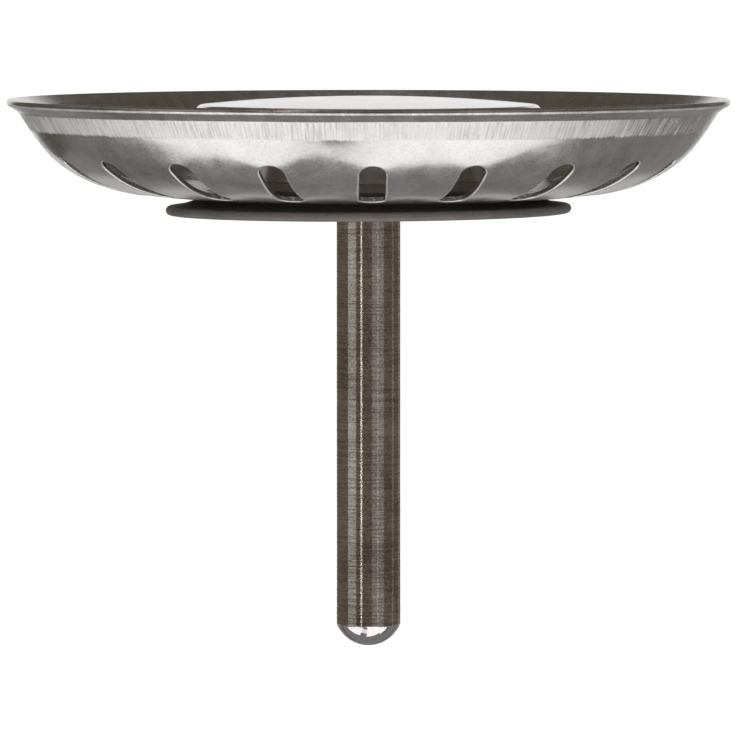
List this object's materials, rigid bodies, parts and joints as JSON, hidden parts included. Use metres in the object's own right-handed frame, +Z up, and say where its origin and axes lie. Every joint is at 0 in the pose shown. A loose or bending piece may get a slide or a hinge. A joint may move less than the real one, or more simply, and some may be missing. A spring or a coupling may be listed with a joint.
{
  "type": "sink strainer plug",
  "caption": "Slotted steel strainer basket with a low domed grip knob, a rubber sealing washer under its floor and a domed lift stem, which strains and closes a sink waste.",
  "frame": {"origin": "on the stem's axis, in the plane of the sealing washer's underside", "axes": "+Z up the stem's axis towards the knob, -Y towards the slot that faces the camera, +X to the right in the picture"},
  "size_m": [0.084, 0.084, 0.064],
  "materials": {
    "pressed_steel": "satin, with a scuffed draw band under the lip",
    "knob_steel": "satin",
    "turned_steel": "fine turned",
    "seal_rubber": "matt moulded"
  },
  "bodies": {
    "root": {"strainer_basket": "pressed_steel", "grip_knob": "knob_steel", "knob_post": "turned_steel", "lift_stem": "turned_steel", "sealing_washer": "seal_rubber"}
  },
  "joints": []
}
